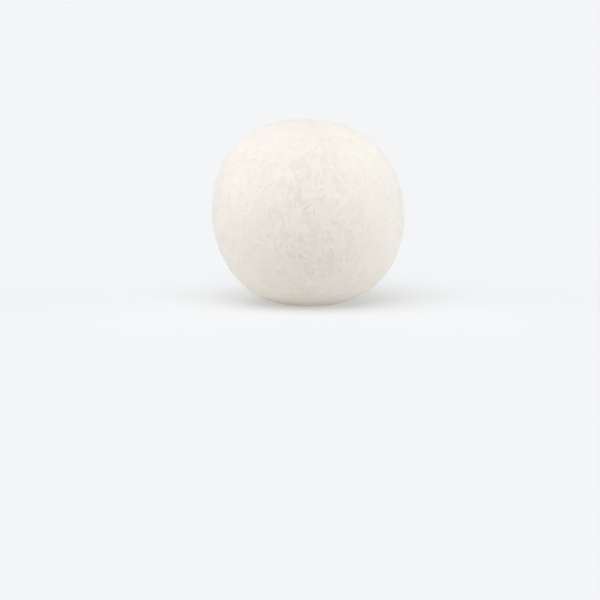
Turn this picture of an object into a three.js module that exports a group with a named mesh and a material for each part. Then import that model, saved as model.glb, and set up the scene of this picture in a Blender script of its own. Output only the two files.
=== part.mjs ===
// A felted wool dryer ball: a wound wool core inside three felted layers. Each layer is laid as
// two strips of carded batt that cross at a right angle and together cover the ball, as the two
// halves of a tennis ball's cover do. Each layer is turned a quarter turn from the one below.
// Millimetres, +Z up. The origin is at the ball's foot, the flat that it has settled on.

import * as THREE from "three";

// Driving dimensions.
const BALL_WIDTH = 74.6; // along X, before the lumps are added
const BALL_DEPTH = 74.2; // along Y
const BALL_HEIGHT = 74.6; // along Z, before the foot settles
const FOOT_SETTLE = 1.9; // how far the weight of the ball has pressed the foot up
const FOOT_WIDTH = 19; // across the flat that this has made
const LAYER_THICKNESS = 5.8;
const LAYER_GAP = 0.7; // between one layer and the next, and between the last and the core
const SEAM_GAP = 0.6; // between the two strips of a layer, along the ball's surface
const SEAM_LAP = 4; // how far the crossing strip's edge leans over the first strip's edge
const SEAM_SWEEP = 1.6; // how far the seam swings: 0 is a plain equator
const STRAND_TURNS = 9; // turns of roving seen from one end of the core to the other
const STRAND_GROOVE = 0.7; // depth of the groove between two turns

// Hand felting leaves the ball slightly out of round. Each lump is a soft swelling, or a hollow
// where its height is negative, centred towards a direction and spread over an angle in radians.
const LUMPS = [
  { towards: [-0.70, -0.10, 0.71], height: 1.6, spread: 0.5 }, // upper left shoulder
  { towards: [0.76, -0.15, -0.63], height: 1.45, spread: 0.45 }, // lower right
  { towards: [-0.66, -0.05, -0.75], height: 0.65, spread: 0.38 }, // lower left
  { towards: [0.05, -0.10, 0.99], height: -1.65, spread: 0.4 }, // flattened top
  { towards: [0.05, -0.10, -0.99], height: -0.65, spread: 0.4 }, // flattened underside
  { towards: [0.30, -0.93, 0.20], height: 0.35, spread: 0.5 }, // front
  { towards: [-0.45, -0.80, -0.40], height: -0.4, spread: 0.4 }, // front, low left
  { towards: [0.65, 0.70, 0.30], height: 0.45, spread: 0.5 }, // back right
  { towards: [-0.60, 0.75, -0.25], height: 0.4, spread: 0.55 }, // back left
  { towards: [0.10, 0.85, -0.52], height: -0.35, spread: 0.4 }, // back, low
].map((lump) => ({ ...lump, towards: new THREE.Vector3(...lump.towards).normalize() }));

// Mesh fineness: columns around a strip, and rows from its middle to its edge.
const FINENESS = {
  outer: { columns: 64, rows: 13 },
  middle: { columns: 44, rows: 9 },
  inner: { columns: 40, rows: 8 },
};
const FOOT_ROWS = 2; // rows across the foot, which every strip has at its middle
const EDGE_PULL = 1.3; // how late the rows start to follow the seam: 1 is at once
const SEAM_CROWDING = 0.6; // how much closer the columns stand where the seam is steep
const CORE_COLUMNS = 28;
const ROWS_PER_TURN = 3;

// Worked-out dimensions.
const QUARTER_TURN = Math.PI / 2;
const HALF_SIZE = new THREE.Vector3(BALL_WIDTH, BALL_DEPTH, BALL_HEIGHT).divideScalar(2);
const FOOT_DROP = HALF_SIZE.z - FOOT_SETTLE; // from the ball's centre down to its foot
const FOOT_ANGLE = Math.atan2(FOOT_WIDTH / 2, FOOT_DROP);
const LAYERS = ["outer", "middle", "inner"];
const LAYER_PITCH = LAYER_THICKNESS + LAYER_GAP;
const CORE_DEPTH = LAYERS.length * LAYER_PITCH; // from the ball's surface in to the core

// How far the lumps raise the ball's surface in a direction.
function lumpHeight(direction) {
  return LUMPS.reduce((sum, lump) => {
    const angle = direction.angleTo(lump.towards);
    return sum + lump.height * Math.exp(-((angle / lump.spread) ** 2));
  }, 0);
}

// Distance from the ball's centre to the surface that lies depth below the ball's own. The
// lumps fade out with depth, so the core has none.
function surfaceRadius(direction, depth) {
  const plain = 1 / direction.clone().divide(HALF_SIZE).length();
  return plain - depth + lumpHeight(direction) * (1 - depth / CORE_DEPTH);
}

// The seam at an azimuth, on a ball of radius 1: a point on it, and the direction square to it
// that leads into the strip. It lies where z = SEAM_SWEEP * (x * x - y * y), which is the same
// curve when the two strips change places.
function seamAt(azimuth) {
  const swing = SEAM_SWEEP * Math.cos(2 * azimuth);
  const height = (2 * swing) / (1 + Math.sqrt(1 + 4 * swing * swing));
  const reach = Math.sqrt(1 - height * height);
  const point = new THREE.Vector3(reach * Math.cos(azimuth), reach * Math.sin(azimuth), height);
  const uphill = new THREE.Vector3(-2 * SEAM_SWEEP * point.x, 2 * SEAM_SWEEP * point.y, 1);
  return { point, inward: uphill.projectOnPlane(point).normalize() };
}

// Direction from the ball's centre to a strip's edge. The edge leans, so that the crossing
// strip laps over the first one: lapSide is 1 for the first strip and -1 for the crossing one.
function edgeDirection(azimuth, depthInLayer, radius, lapSide) {
  const { point, inward } = seamAt(azimuth);
  const lean = lapSide * SEAM_LAP * (0.5 - depthInLayer / LAYER_THICKNESS);
  return point.addScaledVector(inward, (SEAM_GAP / 2 + lean) / radius).normalize();
}

// Moves an azimuth towards the nearest steep stretch of the seam, so that its steps are even.
function crowdedAzimuth(azimuth) {
  return azimuth + (SEAM_CROWDING * Math.sin(4 * azimuth)) / 4;
}

// A plain half shell around +Z. Its profile runs from the pole along the inside to the rim and
// back along the outside.
function halfShell(radius, { columns, rows }) {
  const angles = [];
  for (let i = 0; i < FOOT_ROWS; i++) angles.push((FOOT_ANGLE * i) / FOOT_ROWS);
  for (let i = 0; i <= rows; i++) {
    angles.push(THREE.MathUtils.lerp(FOOT_ANGLE, QUARTER_TURN, i / rows));
  }
  const arc = (r) => angles.map((a) => new THREE.Vector2(r * Math.sin(a), r * Math.cos(a)));
  const inside = arc(radius - LAYER_THICKNESS);
  const outside = arc(radius).reverse();
  const shell = new THREE.LatheGeometry([...inside, ...outside], columns);
  return shell.rotateX(QUARTER_TURN);
}

// One strip of a layer. A plain half shell is bent so that its rim follows the seam, turned to
// where the strip lies, laid on the ball's surface and pressed flat at the foot.
function battStrip(layer, turn, lapSide) {
  const plainRadius = HALF_SIZE.x;
  const shell = halfShell(plainRadius, FINENESS[layer]);
  const layerDepth = LAYERS.indexOf(layer) * LAYER_PITCH;
  const vertices = shell.getAttribute("position");
  const vertex = new THREE.Vector3();
  for (let i = 0; i < vertices.count; i++) {
    vertex.fromBufferAttribute(vertices, i);
    const depthInLayer = plainRadius - vertex.length();
    const depth = layerDepth + depthInLayer;
    const polar = Math.atan2(Math.hypot(vertex.x, vertex.y), vertex.z);
    const azimuth = crowdedAzimuth(Math.atan2(vertex.y, vertex.x));
    const edge = edgeDirection(azimuth, depthInLayer, plainRadius - depth, lapSide);
    const towardsEdge = Math.max(0, (polar - FOOT_ANGLE) / (QUARTER_TURN - FOOT_ANGLE));
    const bent = polar + (Math.acos(edge.z) - QUARTER_TURN) * towardsEdge ** EDGE_PULL;
    // Spherical coordinates are measured from +Y, so their Z, X and Y are the strip's X, Y and Z.
    vertex.setFromSphericalCoords(1, bent, Math.atan2(edge.y, edge.x));
    vertex.set(vertex.z, vertex.x, vertex.y).applyQuaternion(turn);
    vertex.multiplyScalar(surfaceRadius(vertex, depth));
    vertex.z = Math.max(vertex.z, -FOOT_DROP);
    vertices.setXYZ(i, vertex.x, vertex.y, vertex.z);
  }
  return shell;
}

// The core: turns of roving side by side, with a groove between each two.
function woundCore() {
  const steps = STRAND_TURNS * ROWS_PER_TURN;
  const profile = [];
  for (let i = 0; i <= steps; i++) {
    const angle = (Math.PI * i) / steps;
    const crown = Math.abs(Math.sin((Math.PI * i) / ROWS_PER_TURN));
    const direction = new THREE.Vector3(Math.sin(angle), 0, Math.cos(angle));
    const radius = surfaceRadius(direction, CORE_DEPTH) - STRAND_GROOVE * (1 - crown);
    profile.push(new THREE.Vector2(radius * Math.sin(angle), -radius * Math.cos(angle)));
  }
  profile.at(-1).x = 0;
  return new THREE.LatheGeometry(profile, CORE_COLUMNS).rotateX(QUARTER_TURN);
}

function wool(color) {
  return new THREE.MeshStandardMaterial({ color, roughness: 0.95, metalness: 0 });
}

const WOOL = {
  outer: wool(0xece7dc),
  middle: wool(0xe6dfd0),
  inner: wool(0xe0d8c6),
  core: wool(0xd9cfba),
};

// The strips' middles lie on Z in the outer layer, on Y in the middle one and on X in the inner.
const TURNS = {
  outer: new THREE.Quaternion(),
  middle: new THREE.Quaternion().setFromAxisAngle(new THREE.Vector3(1, 0, 0), QUARTER_TURN),
  inner: new THREE.Quaternion().setFromAxisAngle(new THREE.Vector3(0, 1, 0), QUARTER_TURN),
};
// Half a turn about this diagonal puts a strip in its partner's place.
const DIAGONAL = new THREE.Vector3(1, 1, 0).normalize();
const TO_PARTNER = new THREE.Quaternion().setFromAxisAngle(DIAGONAL, Math.PI);

function namedMesh(name, geometry, material) {
  const mesh = new THREE.Mesh(geometry, material);
  mesh.name = name;
  return mesh;
}

const ball = new THREE.Group();
ball.add(namedMesh("wound_core", woundCore(), WOOL.core));
for (const layer of LAYERS) {
  const first = TURNS[layer];
  const crossing = first.clone().multiply(TO_PARTNER);
  ball.add(namedMesh(`${layer}_batt_first`, battStrip(layer, first, 1), WOOL[layer]));
  ball.add(namedMesh(`${layer}_batt_crossing`, battStrip(layer, crossing, -1), WOOL[layer]));
}

// The lumps make the ball lopsided, so its box is centred over the origin.
const middle = new THREE.Box3().setFromObject(ball, true).getCenter(new THREE.Vector3());
ball.position.set(-middle.x, -middle.y, FOOT_DROP);

export default ball;
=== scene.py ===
"""A felted wool dryer ball on a pale studio floor.

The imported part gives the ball's place, size and inner layers. This script makes its outer felt:
one seamless matted cover, the strands of wool that lie matted into it and the fuzz that stands
off it. Metres, +Z up. The camera looks along +Y and a little down.
"""

import math

import bpy
import numpy as np
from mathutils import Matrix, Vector, kdtree, noise


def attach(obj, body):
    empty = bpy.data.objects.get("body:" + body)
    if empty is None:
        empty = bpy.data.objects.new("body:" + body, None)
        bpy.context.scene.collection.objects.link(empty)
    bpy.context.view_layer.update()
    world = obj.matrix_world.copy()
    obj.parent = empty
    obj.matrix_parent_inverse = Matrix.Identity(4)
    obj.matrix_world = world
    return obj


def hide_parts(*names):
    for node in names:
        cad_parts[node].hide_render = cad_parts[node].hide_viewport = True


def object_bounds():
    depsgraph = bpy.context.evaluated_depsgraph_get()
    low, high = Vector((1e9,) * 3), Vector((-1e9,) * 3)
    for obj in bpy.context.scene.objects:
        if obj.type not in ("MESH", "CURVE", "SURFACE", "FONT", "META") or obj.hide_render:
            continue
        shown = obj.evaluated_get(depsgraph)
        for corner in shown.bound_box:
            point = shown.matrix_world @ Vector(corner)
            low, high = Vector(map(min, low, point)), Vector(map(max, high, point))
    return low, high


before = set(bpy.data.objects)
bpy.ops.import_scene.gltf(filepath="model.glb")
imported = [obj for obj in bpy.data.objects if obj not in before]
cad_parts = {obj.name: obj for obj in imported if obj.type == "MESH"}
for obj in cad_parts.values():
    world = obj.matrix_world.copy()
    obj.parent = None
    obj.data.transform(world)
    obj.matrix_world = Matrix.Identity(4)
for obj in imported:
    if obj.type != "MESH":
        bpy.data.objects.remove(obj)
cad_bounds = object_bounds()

MM = 0.001

# The ball's shape, as in the part's own source: a plain ball, its lumps and its settled foot.
HALF_SIZE = np.array([37.3, 37.1, 37.3]) * MM
FOOT_DROP = 35.4 * MM
LUMPS = [  # the direction a lump faces, its height in mm and its spread in radians
    ((-0.70, -0.10, 0.71), 1.6, 0.5),
    ((0.76, -0.15, -0.63), 1.45, 0.45),
    ((-0.66, -0.05, -0.75), 0.65, 0.38),
    ((0.05, -0.10, 0.99), -1.65, 0.4),
    ((0.05, -0.10, -0.99), -0.65, 0.4),
    ((0.30, -0.93, 0.20), 0.35, 0.5),
    ((-0.45, -0.80, -0.40), -0.4, 0.4),
    ((0.65, 0.70, 0.30), 0.45, 0.5),
    ((-0.60, 0.75, -0.25), 0.4, 0.55),
    ((0.10, 0.85, -0.52), -0.35, 0.4),
]

# The felt's relief: dents, mottle, and the ridges of matted strands.
COVER_DIVISIONS = 128
DENT_SIZE, DENT_DEPTH = 15 * MM, 0.16 * MM
MOTTLE_SIZE, MOTTLE_DEPTH = 2.4 * MM, 0.05 * MM
RIDGE_COUNT, RIDGE_LENGTH, RIDGE_WIDTH, RIDGE_HEIGHT = 3000, 6 * MM, 0.55 * MM, 0.07 * MM
RIDGE_STEPS = 22
RIDGE_REACH = 1.8  # how far a ridge's flanks reach from its crest, in widths

# Where the felt has been ruffled its ridges stand higher and its strands lie less deep.
RUFFLED = [  # the direction a ruffled patch faces, and its spread in radians
    ((0.0, -1.0, 0.42), 0.48),
    ((0.04, -1.0, -0.34), 0.48),
    ((-0.8, 0.6, 0.3), 0.5),
    ((0.6, 0.8, -0.2), 0.5),
]
RUFFLE_GAIN = 2.2  # how much ridges gain there, over their height in smooth felt
STRAND_LIFT = (-1.0, 0.3)  # how high strands lie there, in radii over the felt's surface
STRAND_SINK = 0.8  # how much deeper they lie in smooth felt, in radii

# Strands of wool that lie matted into the felt, and hairs that stand off it.
STRAND_COUNT, STRAND_LENGTH, STRAND_RADIUS, STRAND_STEPS = 4300, 4.5 * MM, 0.045 * MM, 7
HAIR_COUNT, HAIR_LENGTH, HAIR_RADIUS, HAIR_STEPS = 3800, 2.6 * MM, 0.019 * MM, 6
HAIR_RISE = 1.2 * MM  # how far the tip of the boldest hair stands off the felt

# The outer layer's two strips of batt meet along a seam like a tennis ball's. The strands of the
# first run over the top around X, those of the crossing one under the ball around Y.
SEAM_SWEEP = 1.6
FIRST_AXIS, CROSSING_AXIS = (1.0, 0.12, 0.0), (0.0, 1.0, 0.15)
WRAP_SPREAD = 0.4  # how far a strand strays from its strip's way, in radians
HAIR_SPREAD = 3.0  # how far a hair does, which is nearly any way
STRAY_SHARE = 0.25  # the share of strands that lie any way at all
ANY_WAY = math.pi
RIDGE_CURL, STRAND_CURL, HAIR_CURL = 0.10, 0.12, 0.35  # how much each bends, in radians per mm

rng = np.random.default_rng(7)


# ---------------------------------------------------------------- the ball's surface

def unit(vectors):
    return vectors / np.linalg.norm(vectors, axis=-1, keepdims=True)


def swelling(directions, towards, spread):
    """1 in the middle of a round swelling on the ball, falling softly to 0 around it."""
    angle = np.arccos(np.clip(directions @ unit(np.array(towards)), -1, 1))
    return np.exp(-((angle / spread) ** 2))


def smooth_radius(directions):
    """Distance from the ball's centre to its surface, without foot or felt relief."""
    radius = 1 / np.linalg.norm(directions / HALF_SIZE, axis=-1)
    for towards, height, spread in LUMPS:
        radius = radius + height * MM * swelling(directions, towards, spread)
    return radius


def ruffled(directions):
    """How ruffled the felt is: 0 where it is smooth, 1 in the middle of a ruffled patch."""
    return np.minimum(1, sum(swelling(directions, *patch) for patch in RUFFLED))


def ball_centre(directions):
    """The ball's centre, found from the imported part's box."""
    smooth = directions * smooth_radius(directions)[:, None]
    low, high = (np.array(corner) for corner in cad_bounds)
    found = (low + high) / 2 - (smooth.min(0) + smooth.max(0)) / 2
    found[2] = low[2] + FOOT_DROP
    return found


def cube_sphere(divisions):
    """A sphere's directions, and its faces as quads: the six grids of a cube, swollen."""
    steps = np.arange(divisions + 1)
    first, second = np.meshgrid(steps, steps, indexing="ij")
    grids = []
    for axis in range(3):
        for side in (0, divisions):
            grid = np.full((divisions + 1, divisions + 1, 3), side)
            grid[..., (axis + 1) % 3] = first
            grid[..., (axis + 2) % 3] = second
            grids.append(grid if side else grid[::-1])
    places, ids = np.unique(np.array(grids).reshape(-1, 3), axis=0, return_inverse=True)
    ids = ids.reshape(6, divisions + 1, divisions + 1)
    quads = np.stack([ids[:, :-1, :-1], ids[:, 1:, :-1], ids[:, 1:, 1:], ids[:, :-1, 1:]], -1)
    cube = places / divisions * 2 - 1
    return unit(np.tan(cube * math.pi / 4)), quads.reshape(-1, 4)


def tree_of(points):
    """A search tree that finds the points near a place."""
    tree = kdtree.KDTree(len(points))
    for i, point in enumerate(points):
        tree.insert(point, i)
    tree.balance()
    return tree


def noise_at(points, size, seed, octaves):
    """Smooth noise, mostly from -1 to 1, with features of about that size. Each seed gives
    another."""
    offset = Vector((7.31, 3.17, 5.93)) * seed
    return np.array([noise.fractal(Vector(p) / size + offset, 1.0, 2.0, octaves) for p in points])


# ---------------------------------------------------------------- paths of strands

def turned(heading, normal, angle):
    """Each heading turned about its normal."""
    across = np.cross(normal, heading)
    return heading * np.cos(angle)[:, None] + across * np.sin(angle)[:, None]


def wander(count, length, steps, spread, curl):
    """Paths over the ball, as directions: [path, step, 3]. Each starts at a random place and runs
    the way its strip of batt does, give or take. The curl, in radians per mm, bends it."""
    here = unit(rng.normal(size=(count, 3)))
    in_first = here[:, 2] > SEAM_SWEEP * (here[:, 0] ** 2 - here[:, 1] ** 2)
    axes = np.where(in_first[:, None], FIRST_AXIS, CROSSING_AXIS)
    heading = unit(np.cross(axes, here) + 1e-6)  # a start on its axis has a heading too
    stray = np.where(rng.random(count) < STRAY_SHARE, ANY_WAY, spread)
    heading = turned(heading, here, rng.normal(size=count) * stray)
    bend = rng.normal(scale=curl, size=count)
    stride = length * rng.uniform(0.5, 1.5, size=count) / steps / HALF_SIZE[0]
    path = [here]
    for _ in range(steps):
        bend = bend + rng.normal(scale=curl * 0.6, size=count)
        heading = turned(heading, here, bend * stride * HALF_SIZE[0] / MM)
        here = unit(here + heading * stride[:, None])
        heading = unit(heading - here * np.sum(heading * here, 1, keepdims=True))
        path.append(here)
    return np.stack(path, 1)


# ---------------------------------------------------------------- meshes

def make_object(name, vertices, faces):
    mesh = bpy.data.meshes.new(name)
    mesh.from_pydata(vertices.tolist(), [], faces)
    mesh.shade_smooth()
    made = bpy.data.objects.new(name, mesh)
    bpy.context.scene.collection.objects.link(made)
    return made


def ridge_relief(directions, tree):
    """How high the ridges of matted strands stand at each direction, from 0 to 1."""
    relief = np.zeros(len(directions))
    reach = RIDGE_REACH * RIDGE_WIDTH / HALF_SIZE[0]
    paths = wander(RIDGE_COUNT, RIDGE_LENGTH, RIDGE_STEPS, WRAP_SPREAD, RIDGE_CURL)
    heights = rng.uniform(0.35, 1, size=RIDGE_COUNT)
    for path, height in zip(paths, heights):
        for step, place in enumerate(path):
            taper = math.sin(math.pi * (step + 0.5) / (RIDGE_STEPS + 1)) ** 0.5
            for _, i, distance in tree.find_range(Vector(place), reach):
                bump = math.exp(-((distance * HALF_SIZE[0] / RIDGE_WIDTH) ** 2)) * height * taper
                relief[i] = max(relief[i], bump)
    return relief


def felt_surface(directions, tree):
    """The felt's points around the ball's centre, and its fine relief, about -0.5 to 0.5."""
    radius = smooth_radius(directions)
    points = directions * radius[:, None]
    dents = DENT_DEPTH * noise_at(points, DENT_SIZE, 1, 2)
    mottle = MOTTLE_DEPTH * noise_at(points, MOTTLE_SIZE, 2, 3)
    ridges = RIDGE_HEIGHT * (ridge_relief(directions, tree) - 0.5)
    ridges = ridges * (1 + RUFFLE_GAIN * ruffled(directions))
    points = directions * (radius + dents + mottle + ridges)[:, None]
    points[:, 2] = np.maximum(points[:, 2], -FOOT_DROP)
    return points, (mottle + ridges) / (MOTTLE_DEPTH + RIDGE_HEIGHT)


def tubes(paths, radii, centre):
    """Thin closed tubes of three sides along paths [path, step, 3], tapering to both ends. Gives
    their vertices, and their faces as lists of vertex numbers."""
    tip = 0.12  # how soon the taper stops, in radians, which leaves a blunt end
    count, steps, _ = paths.shape
    along = np.gradient(paths, axis=1)
    out = unit(paths - centre)
    side = unit(np.cross(along, out))
    up = unit(np.cross(side, along))
    taper = np.sin(np.linspace(tip, math.pi - tip, steps)) ** 0.5
    size = (radii[:, None] * taper)[..., None]
    rings = []
    for corner in range(3):
        angle = 2 * math.pi * corner / 3 + math.pi / 2
        rings.append(paths + (side * math.cos(angle) + up * math.sin(angle)) * size)
    vertices = np.stack(rings, 2).reshape(-1, 3)
    base = np.arange(count)[:, None, None] * steps * 3
    ring = base + np.arange(steps - 1)[None, :, None] * 3
    corner = np.arange(3)[None, None, :]
    a, b = ring + corner, ring + (corner + 1) % 3
    sides = np.stack([a, a + 3, b + 3, b], -1).reshape(-1, 4)
    first = base[:, 0] + np.array([0, 1, 2])[None, :]
    last = base[:, 0] + (steps - 1) * 3 + np.array([2, 1, 0])[None, :]
    return vertices, sides.tolist() + first.tolist() + last.tolist()


def fibres(name, paths, radii, centre):
    """One object of many fibres. None goes into the floor."""
    paths[..., 2] = np.maximum(paths[..., 2], radii[:, None])
    return make_object(name, *tubes(paths, radii, centre))


def on_felt(paths, tree, points):
    """Paths of directions laid on the felt: the felt's nearest point for each step."""
    flat = paths.reshape(-1, 3)
    near = np.array([tree.find(Vector(p))[1] for p in flat])
    return points[near].reshape(paths.shape)


# ---------------------------------------------------------------- materials

CREAM = (0.848, 0.811, 0.745)
WARM_CREAM = (0.822, 0.765, 0.684)
STRAND_CREAM = (0.865, 0.832, 0.77)
FUZZ_CREAM = (0.83, 0.81, 0.775)
YELLOWISH, PINKISH = (1.0, 1.0, 0.985), (1.0, 0.988, 0.988)  # the wool's tint drifts between them

# How the felt's streaks are stretched, and how they are turned, in radians.
STREAK_WAYS = [
    ((10, 1, 1), (0.2, 0.5, 0.3)),
    ((1, 10, 1), (0.5, 0.1, 0.7)),
    ((1, 1, 10), (0.3, 0.2, 0.1)),
]
STREAK_DEPTH = 0.13 * MM


def operate(tree, kind, operation, *inputs):
    """The result of a new node that works on its inputs: sockets, which are linked, or values."""
    node = tree.nodes.new(kind)
    node.operation = operation
    for socket, value in zip(node.inputs, inputs):
        if isinstance(value, bpy.types.NodeSocket):
            tree.links.new(value, socket)
        else:
            socket.default_value = value
    return node.outputs["Value" if operation in ("DOT_PRODUCT", "LENGTH") else 0]


class Wool:
    """A wool material and short ways to add its nodes. Lengths in the nodes are millimetres."""

    def __init__(self, name):
        self.material = bpy.data.materials.new(name)
        self.material.use_nodes = True
        self.tree = self.material.node_tree
        self.shader = self.tree.nodes["Principled BSDF"]
        place = self.tree.nodes.new("ShaderNodeTexCoord").outputs["Object"]
        self.place = self.vector_math("MULTIPLY", place, (1 / MM, 1 / MM, 1 / MM))

    def math(self, operation, *inputs):
        return operate(self.tree, "ShaderNodeMath", operation, *inputs)

    def vector_math(self, operation, *inputs):
        return operate(self.tree, "ShaderNodeVectorMath", operation, *inputs)

    def link(self, source, name):
        self.tree.links.new(source, self.shader.inputs[name])

    def attribute(self, name):
        node = self.tree.nodes.new("ShaderNodeAttribute")
        node.attribute_name = name
        return node.outputs["Fac"]

    def noise_node(self, place, size):
        node = self.tree.nodes.new("ShaderNodeTexNoise")
        node.inputs["Scale"].default_value = 1 / size
        self.tree.links.new(place, node.inputs["Vector"])
        return node

    def stretched(self, place, stretch, turn):
        node = self.tree.nodes.new("ShaderNodeMapping")
        node.vector_type = "TEXTURE"
        node.inputs["Rotation"].default_value = turn
        node.inputs["Scale"].default_value = stretch
        self.tree.links.new(place, node.inputs["Vector"])
        return node.outputs["Vector"]

    def noise(self, size, detail, stretch=None, turn=None, warp=0, roughness=0.5):
        """Noise with features of that size in mm. Stretched noise makes streaks, and a warp
        bends them. The rougher it is, the more its finest features show."""
        place = self.place
        if warp:
            bends = self.noise_node(place, 6).outputs["Color"]
            place = self.vector_math("MULTIPLY_ADD", bends, (warp, warp, warp), place)
        if stretch:
            place = self.stretched(place, stretch, turn)
        node = self.noise_node(place, size)
        node.inputs["Detail"].default_value = detail
        node.inputs["Roughness"].default_value = roughness
        return node.outputs["Fac"]

    def ramp(self, value, stops):
        node = self.tree.nodes.new("ShaderNodeValToRGB")
        elements = node.color_ramp.elements
        while len(elements) < len(stops):
            elements.new(0.5)
        for element, (position, colour) in zip(elements, stops):
            element.position = position
            element.color = (*colour, 1)
        self.tree.links.new(value, node.inputs["Fac"])
        return node.outputs["Color"]

    def remap(self, value, *limits):
        """The value's run from low to high turned into another: low, high, new low, new high."""
        node = self.tree.nodes.new("ShaderNodeMapRange")
        self.tree.links.new(value, node.inputs["Value"])
        for name, limit in zip(("From Min", "From Max", "To Min", "To Max"), limits):
            node.inputs[name].default_value = limit
        return node.outputs["Result"]

    def bump(self, height, depth, strength):
        node = self.tree.nodes.new("ShaderNodeBump")
        node.inputs["Strength"].default_value = strength
        node.inputs["Distance"].default_value = depth
        self.tree.links.new(height, node.inputs["Height"])
        self.link(node.outputs["Normal"], "Normal")


def shade(colour, factor):
    return tuple(channel * factor for channel in colour)


def felt_material(name, colour, warm):
    """Matted wool: streaks that cross, and small pits between them. It is rougher where the felt
    is ruffled. Its colour is partly the wool's own tone, which differs at random, and partly
    painted shade: warmer and darker where the relief is low, between the streaks and in the pits."""
    wool = Wool(name)
    streaks = [wool.noise(0.5, 3, *way, warp=5, roughness=0.7) for way in STREAK_WAYS]
    matted = wool.math("MAXIMUM", wool.math("MAXIMUM", streaks[0], streaks[1]), streaks[2])
    pits = wool.remap(wool.noise(1.1, 1), 0.64, 0.74, 0, 1)
    height = wool.math("MULTIPLY_ADD", pits, -0.5, matted)
    rough = wool.math("MULTIPLY_ADD", wool.attribute("ruffle"), 0.5, 0.5)
    wool.bump(wool.math("MULTIPLY", height, rough), STREAK_DEPTH, 0.8)
    # The tone is partly the wool's own random tone (the large noise) and partly painted shade: low
    # relief, the valleys between the streaks and the pits pull it down to darker, warmer stops.
    tone = 0.33
    parts = [(wool.noise(9, 3), 0.3), (matted, 0.2), (wool.attribute("relief"), 0.2), (pits, -0.2)]
    for part, weight in parts:
        tone = wool.math("MULTIPLY_ADD", part, weight, tone)
    # The darkest, warmest stop is painted shade in the felt's low places.
    tones_and_painted_shade = wool.ramp(tone, [(0.15, shade(warm, 0.88)), (0.5, warm), (0.8, colour)])
    tint = wool.ramp(wool.noise(16, 1), [(0.4, YELLOWISH), (0.6, PINKISH)])
    wool.link(wool.vector_math("MULTIPLY", tones_and_painted_shade, tint), "Base Color")
    wool.link(wool.remap(matted, 0.4, 0.75, 1, 0.82), "Roughness")
    wool.shader.inputs["Specular IOR Level"].default_value = 0.25
    wool.shader.inputs["Subsurface Weight"].default_value = 0.3
    wool.shader.inputs["Subsurface Radius"].default_value = (1.0, 0.8, 0.6)
    wool.shader.inputs["Subsurface Scale"].default_value = 1 * MM
    return wool.material


def fibre_material(name, colour):
    """Single fibres. The tone changes from place to place, so that they differ."""
    wool = Wool(name)
    tone = wool.noise(2.5, 2, warp=8)
    wool.link(wool.ramp(tone, [(0.35, shade(colour, 0.93)), (0.65, colour)]), "Base Color")
    wool.shader.inputs["Roughness"].default_value = 0.75
    wool.shader.inputs["Specular IOR Level"].default_value = 0.3
    return wool.material


def dress(piece, material):
    piece.data.materials.clear()
    piece.data.materials.append(material)


# ---------------------------------------------------------------- the ball

def add_cover(directions, quads, points, relief, centre):
    """The seamless felt that the outer layer's two strips have become."""
    cover = make_object("felt_cover", points + centre, quads.tolist())
    # The relief attribute also darkens the felt's colour where the relief is low: painted shade.
    for name, values in (("relief", relief), ("ruffle", ruffled(directions))):
        cover.data.attributes.new(name, "FLOAT", "POINT").data.foreach_set("value", values)
    dress(cover, felt_material("outer_felt", CREAM, WARM_CREAM))
    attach(cover, "root")
    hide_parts("outer_batt_first", "outer_batt_crossing")


def add_strands(tree, points, centre):
    """Strands that lie in the felt, half sunk where it is ruffled and deeper elsewhere."""
    paths = wander(STRAND_COUNT, STRAND_LENGTH, STRAND_STEPS, WRAP_SPREAD, STRAND_CURL)
    lift = rng.uniform(*STRAND_LIFT, size=(STRAND_COUNT, 1))
    lift = (lift - STRAND_SINK * (1 - ruffled(paths))) * STRAND_RADIUS
    radii = rng.uniform(0.6, 1.2, size=STRAND_COUNT) * STRAND_RADIUS
    laid = on_felt(paths, tree, points) + paths * lift[..., None] + centre
    strands = fibres("matted_strands", laid, radii, centre)
    dress(strands, fibre_material("strand_wool", STRAND_CREAM))
    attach(strands, "root")


def add_fuzz(tree, points, centre):
    """Short curly hairs that lie every way, rooted in the felt and rising from it."""
    paths = wander(HAIR_COUNT, HAIR_LENGTH, HAIR_STEPS, HAIR_SPREAD, HAIR_CURL)
    rise = np.linspace(0, 1, HAIR_STEPS + 1)[None, :] ** 1.5
    rise = rise * rng.uniform(0.1, 1.0, size=(HAIR_COUNT, 1)) ** 2 * HAIR_RISE
    raised = on_felt(paths, tree, points) + paths * rise[..., None] + centre
    hairs = fibres("surface_fuzz", raised, np.full(HAIR_COUNT, HAIR_RADIUS), centre)
    dress(hairs, fibre_material("fuzz_wool", FUZZ_CREAM))
    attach(hairs, "root")


DEPTH_SHADES = {"middle": 0.97, "inner": 0.94, "wound": 0.91}  # wool darkens towards the core


def dress_inner_layers():
    for node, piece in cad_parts.items():
        layer = node.split("_")[0]
        if layer in DEPTH_SHADES:
            colour = shade(WARM_CREAM, DEPTH_SHADES[layer])
            dress(piece, felt_material(node + "_felt", colour, shade(colour, 0.93)))


# ---------------------------------------------------------------- the studio

FLOOR_HALF = 15.0  # metres
FLOOR_PAPER = (0.564, 0.563, 0.556, 1)
FLOOR_GLOW = 0.29  # the floor is a translucent table, lit from below as well

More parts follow.
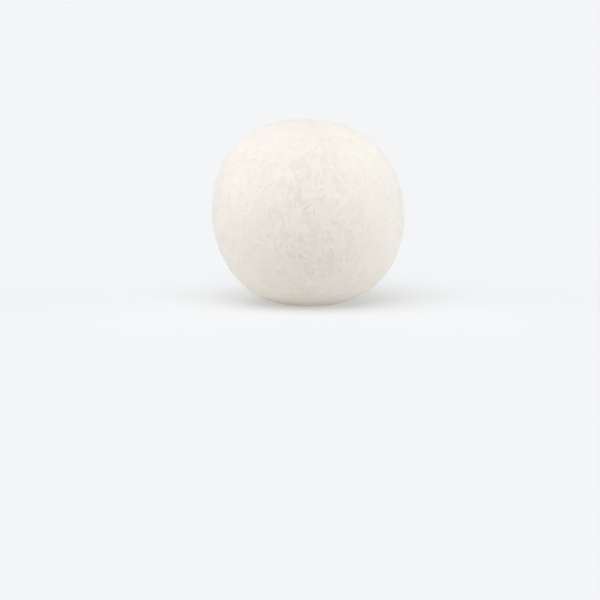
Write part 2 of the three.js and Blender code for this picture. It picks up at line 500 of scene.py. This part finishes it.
# The light tent's bright walls. Seen from the ball, azimuth 0 is behind the camera and 90 is to
# its right. Lowness presses a wall down to a strip near the floor: such strips light the ball's
# flanks and throw little shadow on the floor.
STRIP_TINT = (0.94, 1.00, 1.05)
HIGH_TINT = (0.98, 1.00, 1.04)
TENT_WALLS = [  # azimuth, elevation, lowness, brightness, tint
    (-90, 0, 16, 4.2, STRIP_TINT),
    (0, 0, 16, 0.35, STRIP_TINT),
    (90, 0, 16, 5.4, STRIP_TINT),
    (-60, 60, 0, 1.3, HIGH_TINT),
    (0, 60, 0, 2.0, HIGH_TINT),
    (60, 60, 0, 0.65, HIGH_TINT),
    (180, 30, 0, 0.95, HIGH_TINT),
]
WALL_NARROWNESS = 6.0  # how sharply a wall's light falls off around its middle
BACKDROP = (0.896, 0.914, 0.930, 1)  # what the camera sees beyond the floor

CAMERA_DISTANCE = 1.5
CAMERA_ELEVATION = 8.0
BALL_SHARE = 0.3195  # the ball's width over the picture's
BALL_SHIFT = 0.0138  # the ball's middle right of the picture's, over the picture's width
BALL_RISE = 0.147  # the ball's middle above the picture's, over the picture's height


def studio_floor():
    corners = np.array([(-1, -1, 0), (1, -1, 0), (1, 1, 0), (-1, 1, 0)]) * FLOOR_HALF
    floor = make_object("floor", corners, [(0, 1, 2, 3)])
    material = bpy.data.materials.new("floor_paper")
    material.use_nodes = True
    paper = material.node_tree.nodes["Principled BSDF"]
    paper.inputs["Base Color"].default_value = FLOOR_PAPER
    paper.inputs["Roughness"].default_value = 1.0
    paper.inputs["Specular IOR Level"].default_value = 0.0
    paper.inputs["Emission Color"].default_value = (1, 1, 1, 1)
    paper.inputs["Emission Strength"].default_value = FLOOR_GLOW
    dress(floor, material)


def light_tent():
    """Light from the tent's walls on all sides. The camera sees a plain backdrop."""
    world = bpy.data.worlds.new("light_tent")
    world.use_nodes = True
    tree = world.node_tree
    place = tree.nodes.new("ShaderNodeTexCoord").outputs["Generated"]
    level = operate(tree, "ShaderNodeVectorMath", "MULTIPLY", place, (1, 1, 0))
    # It falls from 1 at the horizon to 0 overhead.
    levelness = operate(tree, "ShaderNodeVectorMath", "LENGTH", level)
    total = (0, 0, 0)
    for azimuth, elevation, lowness, brightness, tint in TENT_WALLS:
        a, e = math.radians(azimuth), math.radians(elevation)
        towards = (math.sin(a) * math.cos(e), -math.cos(a) * math.cos(e), math.sin(e))
        facing = operate(tree, "ShaderNodeVectorMath", "DOT_PRODUCT", place, towards)
        front = operate(tree, "ShaderNodeMath", "MAXIMUM", facing, 0.0)
        lobe = operate(tree, "ShaderNodeMath", "POWER", front, WALL_NARROWNESS)
        strip = operate(tree, "ShaderNodeMath", "POWER", levelness, lowness)
        wall = operate(tree, "ShaderNodeMath", "MULTIPLY", lobe, strip)
        light = shade(tint, brightness)
        total = operate(tree, "ShaderNodeVectorMath", "MULTIPLY_ADD", wall, light, total)
    seen = tree.nodes.new("ShaderNodeMix")
    seen.data_type = "RGBA"
    camera_ray = tree.nodes.new("ShaderNodeLightPath").outputs["Is Camera Ray"]
    tree.links.new(camera_ray, seen.inputs["Factor"])
    tree.links.new(total, seen.inputs["A"])
    seen.inputs["B"].default_value = BACKDROP
    tree.links.new(seen.outputs["Result"], tree.nodes["Background"].inputs["Color"])
    bpy.context.scene.world = world


def studio_camera():
    low, high = (np.array(corner) for corner in cad_bounds)
    middle = (low + high) / 2
    picture = (high[0] - low[0]) / BALL_SHARE  # how wide a view is where the ball is
    elevation = math.radians(CAMERA_ELEVATION)
    back = np.array([0, -math.cos(elevation), math.sin(elevation)])
    up = np.array([0, math.sin(elevation), math.cos(elevation)])
    right = np.array([1, 0, 0])
    aim = middle - up * BALL_RISE * picture - right * BALL_SHIFT * picture
    lens = bpy.data.cameras.new("camera")
    lens.lens = lens.sensor_width * CAMERA_DISTANCE / picture
    camera = bpy.data.objects.new("camera", lens)
    camera.location = aim + back * CAMERA_DISTANCE
    camera.rotation_euler = (math.pi / 2 - elevation, 0, 0)
    bpy.context.scene.collection.objects.link(camera)
    bpy.context.scene.camera = camera


directions, quads = cube_sphere(COVER_DIVISIONS)
tree = tree_of(directions)
centre = ball_centre(directions)
points, relief = felt_surface(directions, tree)
add_cover(directions, quads, points, relief, centre)
add_strands(tree, points, centre)
add_fuzz(tree, points, centre)
dress_inner_layers()
studio_floor()
light_tent()
studio_camera()
bpy.context.scene.view_settings.view_transform = "Standard"
